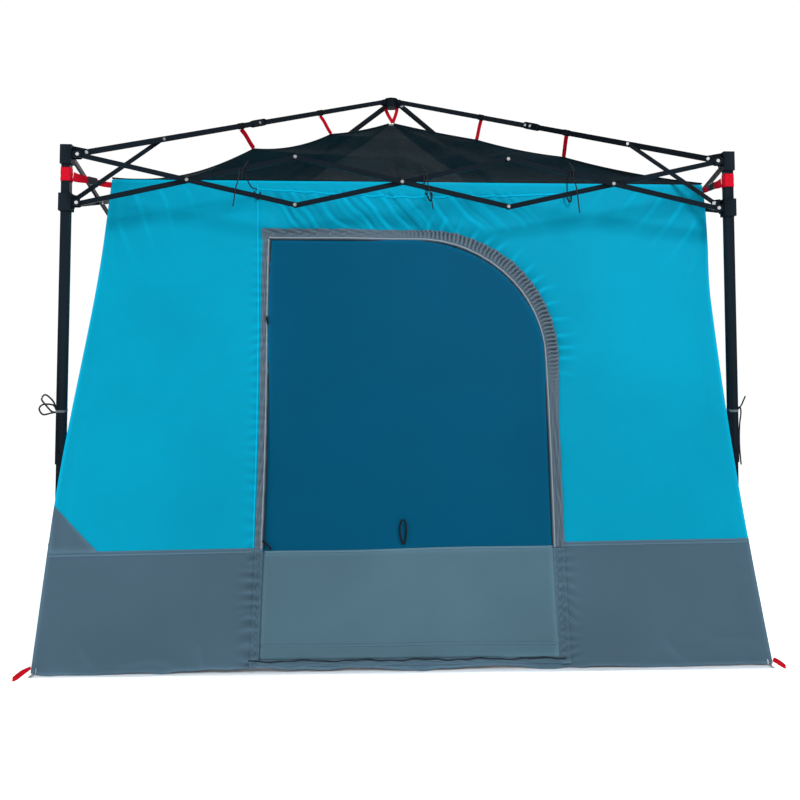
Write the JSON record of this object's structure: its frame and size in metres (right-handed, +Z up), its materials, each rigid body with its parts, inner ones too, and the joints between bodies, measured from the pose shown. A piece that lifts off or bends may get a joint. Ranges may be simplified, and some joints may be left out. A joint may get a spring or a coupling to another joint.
{
  "type": "pop up gazebo",
  "caption": "Folding canopy frame with scissor trusses, jointed rafters and telescoping legs, with a cabin tent of cloth walls, a zipped door and a mesh roof hung inside it.",
  "frame": {"origin": "on the ground, at the middle of the four legs", "axes": "+Z up, the door faces -Y, +X to the right of someone facing the door"},
  "size_m": [2.576, 3.3406, 2.415],
  "materials": {
    "frame_steel": "satin powder coat",
    "frame_plastic": "moulded, satin",
    "button_plastic": "satin",
    "wall_cloth": "woven polyester",
    "door_cloth": "woven polyester and fine mesh",
    "roof_mesh": "fine see-through mesh",
    "groundsheet_cloth": "coated woven sheet"
  },
  "bodies": {
    "outer_leg_front_left": {"outer_leg_front_left": "frame_steel", "front_wall": "wall_cloth", "left_wall": "wall_cloth", "groundsheet": "groundsheet_cloth"},
    "outer_leg_front_right": {"outer_leg_front_right": "frame_steel", "right_wall": "wall_cloth"},
    "outer_leg_rear_left": {"outer_leg_rear_left": "frame_steel", "rear_wall": "wall_cloth"},
    "outer_leg_rear_right": {"outer_leg_rear_right": "frame_steel"},
    "inner_leg_front_left": {"inner_leg_front_left": "frame_steel"},
    "inner_leg_front_right": {"inner_leg_front_right": "frame_steel"},
    "inner_leg_rear_left": {"inner_leg_rear_left": "frame_steel"},
    "inner_leg_rear_right": {"inner_leg_rear_right": "frame_steel"},
    "leg_button_front_left": {"leg_button_front_left": "button_plastic"},
    "leg_button_front_right": {"leg_button_front_right": "button_plastic"},
    "leg_button_rear_left": {"leg_button_rear_left": "button_plastic"},
    "leg_button_rear_right": {"leg_button_rear_right": "button_plastic"},
    "slider_front_left": {"slider_front_left": "frame_plastic"},
    "slider_front_right": {"slider_front_right": "frame_plastic"},
    "slider_rear_left": {"slider_rear_left": "frame_plastic"},
    "slider_rear_right": {"slider_rear_right": "frame_plastic"},
    "front_truss_falling_bar_1": {"front_truss_falling_bar_1": "frame_steel"},
    "front_truss_falling_bar_2": {"front_truss_falling_bar_2": "frame_steel"},
    "front_truss_falling_bar_3": {"front_truss_falling_bar_3": "frame_steel"},
    "left_truss_falling_bar_1": {"left_truss_falling_bar_1": "frame_steel"},
    "left_truss_falling_bar_2": {"left_truss_falling_bar_2": "frame_steel"},
    "left_truss_falling_bar_3": {"left_truss_falling_bar_3": "frame_steel"},
    "rear_truss_falling_bar_1": {"rear_truss_falling_bar_1": "frame_steel"},
    "rear_truss_falling_bar_2": {"rear_truss_falling_bar_2": "frame_steel"},
    "rear_truss_falling_bar_3": {"rear_truss_falling_bar_3": "frame_steel"},
    "right_truss_falling_bar_1": {"right_truss_falling_bar_1": "frame_steel"},
    "right_truss_falling_bar_2": {"right_truss_falling_bar_2": "frame_steel"},
    "right_truss_falling_bar_3": {"right_truss_falling_bar_3": "frame_steel"},
    "front_truss_rising_bar_1": {"front_truss_rising_bar_1": "frame_steel"},
    "front_truss_rising_bar_2": {"front_truss_rising_bar_2": "frame_steel"},
    "front_truss_rising_bar_3": {"front_truss_rising_bar_3": "frame_steel"},
    "left_truss_rising_bar_1": {"left_truss_rising_bar_1": "frame_steel"},
    "left_truss_rising_bar_2": {"left_truss_rising_bar_2": "frame_steel"},
    "left_truss_rising_bar_3": {"left_truss_rising_bar_3": "frame_steel"},
    "rear_truss_rising_bar_1": {"rear_truss_rising_bar_1": "frame_steel"},
    "rear_truss_rising_bar_2": {"rear_truss_rising_bar_2": "frame_steel"},
    "rear_truss_rising_bar_3": {"rear_truss_rising_bar_3": "frame_steel"},
    "right_truss_rising_bar_1": {"right_truss_rising_bar_1": "frame_steel"},
    "right_truss_rising_bar_2": {"right_truss_rising_bar_2": "frame_steel"},
    "right_truss_rising_bar_3": {"right_truss_rising_bar_3": "frame_steel"},
    "lower_rafter_front_left": {"lower_rafter_front_left": "frame_steel"},
    "lower_rafter_front_right": {"lower_rafter_front_right": "frame_steel"},
    "lower_rafter_rear_left": {"lower_rafter_rear_left": "frame_steel"},
    "lower_rafter_rear_right": {"lower_rafter_rear_right": "frame_steel"},
    "upper_rafter_front_left": {"upper_rafter_front_left": "frame_steel"},
    "upper_rafter_front_right": {"upper_rafter_front_right": "frame_steel"},
    "upper_rafter_rear_left": {"upper_rafter_rear_left": "frame_steel"},
    "upper_rafter_rear_right": {"upper_rafter_rear_right": "frame_steel"},
    "rafter_strut_front_left": {"rafter_strut_front_left": "frame_steel"},
    "rafter_strut_front_right": {"rafter_strut_front_right": "frame_steel"},
    "rafter_strut_rear_left": {"rafter_strut_rear_left": "frame_steel"},
    "rafter_strut_rear_right": {"rafter_strut_rear_right": "frame_steel"},
    "hub": {"hub": "frame_plastic", "mesh_roof": "roof_mesh"},
    "door_flap": {"door_flap": "door_cloth"}
  },
  "joints": [
    {"name": "frame_fold", "type": "hinge", "parent": "outer_leg_front_left", "child": "front_truss_falling_bar_1", "pos_m": [-1.208, -1.25, 1.79], "axis": [0, 1, 0], "range_deg": [0, 69], "deforming": ["front_wall", "left_wall", "right_wall", "rear_wall", "door_flap", "mesh_roof", "groundsheet"]},
    {"name": "front_truss_cross_pin_1", "type": "hinge", "parent": "front_truss_falling_bar_1", "child": "front_truss_rising_bar_1", "pos_m": [-0.80533, -1.25, 1.699], "axis": [0, 1, 0], "range_deg": [-138.1, 0]},
    {"name": "front_truss_top_pin_1", "type": "hinge", "parent": "front_truss_rising_bar_1", "child": "front_truss_falling_bar_2", "pos_m": [-0.40267, -1.25, 1.79], "axis": [0, 1, 0], "range_deg": [0, 138.1]},
    {"name": "front_truss_cross_pin_2", "type": "hinge", "parent": "front_truss_falling_bar_2", "child": "front_truss_rising_bar_2", "pos_m": [0, -1.25, 1.699], "axis": [0, 1, 0], "range_deg": [-138.1, 0]},
    {"name": "front_truss_top_pin_2", "type": "hinge", "parent": "front_truss_rising_bar_2", "child": "front_truss_falling_bar_3", "pos_m": [0.40267, -1.25, 1.79], "axis": [0, 1, 0], "range_deg": [0, 138.1]},
    {"name": "front_truss_cross_pin_3", "type": "hinge", "parent": "front_truss_falling_bar_3", "child": "front_truss_rising_bar_3", "pos_m": [0.80533, -1.25, 1.699], "axis": [0, 1, 0], "range_deg": [-138.1, 0]},
    {"name": "front_truss_far_bracket_pin", "type": "hinge", "parent": "front_truss_rising_bar_3", "child": "outer_leg_front_right", "pos_m": [1.208, -1.25, 1.79], "axis": [0, 1, 0], "range_deg": [0, 69.1]},
    {"name": "left_truss_bracket_pin", "type": "hinge", "parent": "outer_leg_front_left", "child": "left_truss_falling_bar_1", "pos_m": [-1.25, -1.208, 1.79], "axis": [-1, 0, 0], "range_deg": [0, 69.1]},
    {"name": "left_truss_cross_pin_1", "type": "hinge", "parent": "left_truss_falling_bar_1", "child": "left_truss_rising_bar_1", "pos_m": [-1.25, -0.80533, 1.699], "axis": [-1, 0, 0], "range_deg": [-138.1, 0]},
    {"name": "left_truss_top_pin_1", "type": "hinge", "parent": "left_truss_rising_bar_1", "child": "left_truss_falling_bar_2", "pos_m": [-1.25, -0.40267, 1.79], "axis": [-1, 0, 0], "range_deg": [0, 138.1]},
    {"name": "left_truss_cross_pin_2", "type": "hinge", "parent": "left_truss_falling_bar_2", "child": "left_truss_rising_bar_2", "pos_m": [-1.25, 0, 1.699], "axis": [-1, 0, 0], "range_deg": [-138.1, 0]},
    {"name": "left_truss_top_pin_2", "type": "hinge", "parent": "left_truss_rising_bar_2", "child": "left_truss_falling_bar_3", "pos_m": [-1.25, 0.40267, 1.79], "axis": [-1, 0, 0], "range_deg": [0, 138.1]},
    {"name": "left_truss_cross_pin_3", "type": "hinge", "parent": "left_truss_falling_bar_3", "child": "left_truss_rising_bar_3", "pos_m": [-1.25, 0.80533, 1.699], "axis": [-1, 0, 0], "range_deg": [-138.1, 0]},
    {"name": "left_truss_far_bracket_pin", "type": "hinge", "parent": "left_truss_rising_bar_3", "child": "outer_leg_rear_left", "pos_m": [-1.25, 1.208, 1.79], "axis": [-1, 0, 0], "range_deg": [0, 69.1]},
    {"name": "rear_truss_bracket_pin", "type": "hinge", "parent": "outer_leg_rear_left", "child": "rear_truss_falling_bar_1", "pos_m": [-1.208, 1.25, 1.79], "axis": [0, 1, 0], "range_deg": [0, 69.1]},
    {"name": "rear_truss_cross_pin_1", "type": "hinge", "parent": "rear_truss_falling_bar_1", "child": "rear_truss_rising_bar_1", "pos_m": [-0.80533, 1.25, 1.699], "axis": [0, 1, 0], "range_deg": [-138.1, 0]},
    {"name": "rear_truss_top_pin_1", "type": "hinge", "parent": "rear_truss_rising_bar_1", "child": "rear_truss_falling_bar_2", "pos_m": [-0.40267, 1.25, 1.79], "axis": [0, 1, 0], "range_deg": [0, 138.1]},
    {"name": "rear_truss_cross_pin_2", "type": "hinge", "parent": "rear_truss_falling_bar_2", "child": "rear_truss_rising_bar_2", "pos_m": [0, 1.25, 1.699], "axis": [0, 1, 0], "range_deg": [-138.1, 0]},
    {"name": "rear_truss_top_pin_2", "type": "hinge", "parent": "rear_truss_rising_bar_2", "child": "rear_truss_falling_bar_3", "pos_m": [0.40267, 1.25, 1.79], "axis": [0, 1, 0], "range_deg": [0, 138.1]},
    {"name": "rear_truss_cross_pin_3", "type": "hinge", "parent": "rear_truss_falling_bar_3", "child": "rear_truss_rising_bar_3", "pos_m": [0.80533, 1.25, 1.699], "axis": [0, 1, 0], "range_deg": [-138.1, 0]},
    {"name": "rear_truss_far_bracket_pin", "type": "hinge", "parent": "rear_truss_rising_bar_3", "child": "outer_leg_rear_right", "pos_m": [1.208, 1.25, 1.79], "axis": [0, 1, 0], "range_deg": [0, 69.1]},
    {"name": "right_truss_bracket_pin", "type": "hinge", "parent": "outer_leg_front_right", "child": "right_truss_falling_bar_1", "pos_m": [1.25, -1.208, 1.79], "axis": [-1, 0, 0], "range_deg": [0, 69.1]},
    {"name": "right_truss_cross_pin_1", "type": "hinge", "parent": "right_truss_falling_bar_1", "child": "right_truss_rising_bar_1", "pos_m": [1.25, -0.80533, 1.699], "axis": [-1, 0, 0], "range_deg": [-138.1, 0]},
    {"name": "right_truss_top_pin_1", "type": "hinge", "parent": "right_truss_rising_bar_1", "child": "right_truss_falling_bar_2", "pos_m": [1.25, -0.40267, 1.79], "axis": [-1, 0, 0], "range_deg": [0, 138.1]},
    {"name": "right_truss_cross_pin_2", "type": "hinge", "parent": "right_truss_falling_bar_2", "child": "right_truss_rising_bar_2", "pos_m": [1.25, 0, 1.699], "axis": [-1, 0, 0], "range_deg": [-138.1, 0]},
    {"name": "right_truss_top_pin_2", "type": "hinge", "parent": "right_truss_rising_bar_2", "child": "right_truss_falling_bar_3", "pos_m": [1.25, 0.40267, 1.79], "axis": [-1, 0, 0], "range_deg": [0, 138.1]},
    {"name": "right_truss_cross_pin_3", "type": "hinge", "parent": "right_truss_falling_bar_3", "child": "right_truss_rising_bar_3", "pos_m": [1.25, 0.80533, 1.699], "axis": [-1, 0, 0], "range_deg": [-138.1, 0]},
    {"name": "slider_pin_front_left", "type": "hinge", "parent": "front_truss_rising_bar_1", "child": "slider_front_left", "pos_m": [-1.208, -1.25, 1.608], "axis": [0, 1, 0], "range_deg": [0, 69.1]},
    {"name": "slider_pin_front_right", "type": "hinge", "parent": "front_truss_falling_bar_3", "child": "slider_front_right", "pos_m": [1.208, -1.25, 1.608], "axis": [0, 1, 0], "range_deg": [-69.1, 0]},
    {"name": "slider_pin_rear_left", "type": "hinge", "parent": "left_truss_falling_bar_3", "child": "slider_rear_left", "pos_m": [-1.25, 1.208, 1.608], "axis": [-1, 0, 0], "range_deg": [-69.1, 0]},
    {"name": "slider_pin_rear_right", "type": "hinge", "parent": "rear_truss_falling_bar_3", "child": "slider_rear_right", "pos_m": [1.208, 1.25, 1.608], "axis": [0, 1, 0], "range_deg": [-69.1, 0]},
    {"name": "rafter_pin_front_left", "type": "hinge", "parent": "outer_leg_front_left", "child": "lower_rafter_front_left", "pos_m": [-1.2005, -1.2005, 1.812], "axis": [-0.7071, 0.7071, 0], "range_deg": [0, 96.8]},
    {"name": "strut_pin_front_left", "type": "hinge", "parent": "slider_front_left", "child": "rafter_strut_front_left", "pos_m": [-1.21818, -1.21818, 1.632], "axis": [-0.7071, 0.7071, 0], "range_deg": [-38.3, 0]},
    {"name": "rafter_pin_front_right", "type": "hinge", "parent": "outer_leg_front_right", "child": "lower_rafter_front_right", "pos_m": [1.2005, -1.2005, 1.812], "axis": [-0.7071, -0.7071, 0], "range_deg": [0, 96.8]},
    {"name": "strut_pin_front_right", "type": "hinge", "parent": "slider_front_right", "child": "rafter_strut_front_right", "pos_m": [1.21818, -1.21818, 1.632], "axis": [-0.7071, -0.7071, 0], "range_deg": [-38.3, 0]},
    {"name": "rafter_pin_rear_left", "type": "hinge", "parent": "outer_leg_rear_left", "child": "lower_rafter_rear_left", "pos_m": [-1.2005, 1.2005, 1.812], "axis": [0.7071, 0.7071, 0], "range_deg": [0, 96.8]},
    {"name": "strut_pin_rear_left", "type": "hinge", "parent": "slider_rear_left", "child": "rafter_strut_rear_left", "pos_m": [-1.21818, 1.21818, 1.632], "axis": [0.7071, 0.7071, 0], "range_deg": [-38.3, 0]},
    {"name": "rafter_pin_rear_right", "type": "hinge", "parent": "outer_leg_rear_right", "child": "lower_rafter_rear_right", "pos_m": [1.2005, 1.2005, 1.812], "axis": [0.7071, -0.7071, 0], "range_deg": [0, 96.8]},
    {"name": "strut_pin_rear_right", "type": "hinge", "parent": "slider_rear_right", "child": "rafter_strut_rear_right", "pos_m": [1.21818, 1.21818, 1.632], "axis": [0.7071, -0.7071, 0], "range_deg": [-38.3, 0]},
    {"name": "elbow_pin_front_left", "type": "hinge", "parent": "lower_rafter_front_left", "child": "upper_rafter_front_left", "pos_m": [-0.5934, -0.5934, 2.11056], "axis": [-0.7071, 0.7071, 0], "range_deg": [-168, 0]},
    {"name": "hub_pin_front_left", "type": "hinge", "parent": "upper_rafter_front_left", "child": "hub", "pos_m": [-0.03535, -0.03535, 2.385], "axis": [-0.7071, 0.7071, 0], "range_deg": [0, 71.4]},
    {"name": "hub_pin_front_right", "type": "hinge", "parent": "hub", "child": "upper_rafter_front_right", "pos_m": [0.03535, -0.03535, 2.385], "axis": [-0.7071, -0.7071, 0], "range_deg": [-71.4, 0]},
    {"name": "hub_pin_rear_left", "type": "hinge", "parent": "hub", "child": "upper_rafter_rear_left", "pos_m": [-0.03535, 0.03535, 2.385], "axis": [0.7071, 0.7071, 0], "range_deg": [-71.4, 0]},
    {"name": "hub_pin_rear_right", "type": "hinge", "parent": "hub", "child": "upper_rafter_rear_right", "pos_m": [0.03535, 0.03535, 2.385], "axis": [0.7071, -0.7071, 0], "range_deg": [-71.4, 0]},
    {"name": "leg_slide_front_left", "type": "slide", "parent": "outer_leg_front_left", "child": "inner_leg_front_left", "axis": [0, 0, 1], "range_m": [0, 0.6]},
    {"name": "button_press_front_left", "type": "slide", "parent": "outer_leg_front_left", "child": "leg_button_front_left", "axis": [0, 1, 0], "range_m": [0, 0.003], "stiffness_N_per_m": 600},
    {"name": "leg_slide_front_right", "type": "slide", "parent": "outer_leg_front_right", "child": "inner_leg_front_right", "axis": [0, 0, 1], "range_m": [0, 0.6]},
    {"name": "button_press_front_right", "type": "slide", "parent": "outer_leg_front_right", "child": "leg_button_front_right", "axis": [0, 1, 0], "range_m": [0, 0.003], "stiffness_N_per_m": 600},
    {"name": "leg_slide_rear_left", "type": "slide", "parent": "outer_leg_rear_left", "child": "inner_leg_rear_left", "axis": [0, 0, 1], "range_m": [0, 0.6]},
    {"name": "button_press_rear_left", "type": "slide", "parent": "outer_leg_rear_left", "child": "leg_button_rear_left", "axis": [0, -1, 0], "range_m": [0, 0.003], "stiffness_N_per_m": 600},
    {"name": "leg_slide_rear_right", "type": "slide", "parent": "outer_leg_rear_right", "child": "inner_leg_rear_right", "axis": [0, 0, 1], "range_m": [0, 0.6]},
    {"name": "button_press_rear_right", "type": "slide", "parent": "outer_leg_rear_right", "child": "leg_button_rear_right", "axis": [0, -1, 0], "range_m": [0, 0.003], "stiffness_N_per_m": 600},
    {"name": "door_swing", "type": "hinge", "parent": "outer_leg_front_left", "child": "door_flap", "pos_m": [-0.5, -1.65415, 0.04742], "axis": [0, -0.317, -0.9484], "range_deg": [0, 95]}
  ],
  "couplings": [
    {"joint": "front_truss_cross_pin_1", "follows": "frame_fold", "ratio": -2},
    {"joint": "front_truss_top_pin_1", "follows": "frame_fold", "ratio": 2},
    {"joint": "front_truss_cross_pin_2", "follows": "frame_fold", "ratio": -2},
    {"joint": "front_truss_top_pin_2", "follows": "frame_fold", "ratio": 2},
    {"joint": "front_truss_cross_pin_3", "follows": "frame_fold", "ratio": -2},
    {"joint": "front_truss_far_bracket_pin", "follows": "frame_fold", "ratio": 1},
    {"joint": "left_truss_bracket_pin", "follows": "frame_fold", "ratio": 1},
    {"joint": "left_truss_cross_pin_1", "follows": "frame_fold", "ratio": -2},
    {"joint": "left_truss_top_pin_1", "follows": "frame_fold", "ratio": 2},
    {"joint": "left_truss_cross_pin_2", "follows": "frame_fold", "ratio": -2},
    {"joint": "left_truss_top_pin_2", "follows": "frame_fold", "ratio": 2},
    {"joint": "left_truss_cross_pin_3", "follows": "frame_fold", "ratio": -2},
    {"joint": "left_truss_far_bracket_pin", "follows": "frame_fold", "ratio": 1},
    {"joint": "rear_truss_bracket_pin", "follows": "frame_fold", "ratio": 1},
    {"joint": "rear_truss_cross_pin_1", "follows": "frame_fold", "ratio": -2},
    {"joint": "rear_truss_top_pin_1", "follows": "frame_fold", "ratio": 2},
    {"joint": "rear_truss_cross_pin_2", "follows": "frame_fold", "ratio": -2},
    {"joint": "rear_truss_top_pin_2", "follows": "frame_fold", "ratio": 2},
    {"joint": "rear_truss_cross_pin_3", "follows": "frame_fold", "ratio": -2},
    {"joint": "rear_truss_far_bracket_pin", "follows": "frame_fold", "ratio": 1},
    {"joint": "right_truss_bracket_pin", "follows": "frame_fold", "ratio": 1},
    {"joint": "right_truss_cross_pin_1", "follows": "frame_fold", "ratio": -2},
    {"joint": "right_truss_top_pin_1", "follows": "frame_fold", "ratio": 2},
    {"joint": "right_truss_cross_pin_2", "follows": "frame_fold", "ratio": -2},
    {"joint": "right_truss_top_pin_2", "follows": "frame_fold", "ratio": 2},
    {"joint": "right_truss_cross_pin_3", "follows": "frame_fold", "ratio": -2},
    {"joint": "slider_pin_front_left", "follows": "frame_fold", "ratio": 1},
    {"joint": "slider_pin_front_right", "follows": "frame_fold", "ratio": -1},
    {"joint": "slider_pin_rear_left", "follows": "frame_fold", "ratio": -1},
    {"joint": "slider_pin_rear_right", "follows": "frame_fold", "ratio": -1},
    {"joint": "rafter_pin_front_left", "follows": "frame_fold", "ratio": 1.4001},
    {"joint": "strut_pin_front_left", "follows": "frame_fold", "ratio": -0.55316},
    {"joint": "rafter_pin_front_right", "follows": "frame_fold", "ratio": 1.4001},
    {"joint": "strut_pin_front_right", "follows": "frame_fold", "ratio": -0.55316},
    {"joint": "rafter_pin_rear_left", "follows": "frame_fold", "ratio": 1.4001},
    {"joint": "strut_pin_rear_left", "follows": "frame_fold", "ratio": -0.55316},
    {"joint": "rafter_pin_rear_right", "follows": "frame_fold", "ratio": 1.4001},
    {"joint": "strut_pin_rear_right", "follows": "frame_fold", "ratio": -0.55316},
    {"joint": "elbow_pin_front_left", "follows": "frame_fold", "ratio": -2.4331},
    {"joint": "hub_pin_front_left", "follows": "frame_fold", "ratio": 1.033},
    {"joint": "hub_pin_front_right", "follows": "frame_fold", "ratio": -1.033},
    {"joint": "hub_pin_rear_left", "follows": "frame_fold", "ratio": -1.033},
    {"joint": "hub_pin_rear_right", "follows": "frame_fold", "ratio": -1.033}
  ]
}
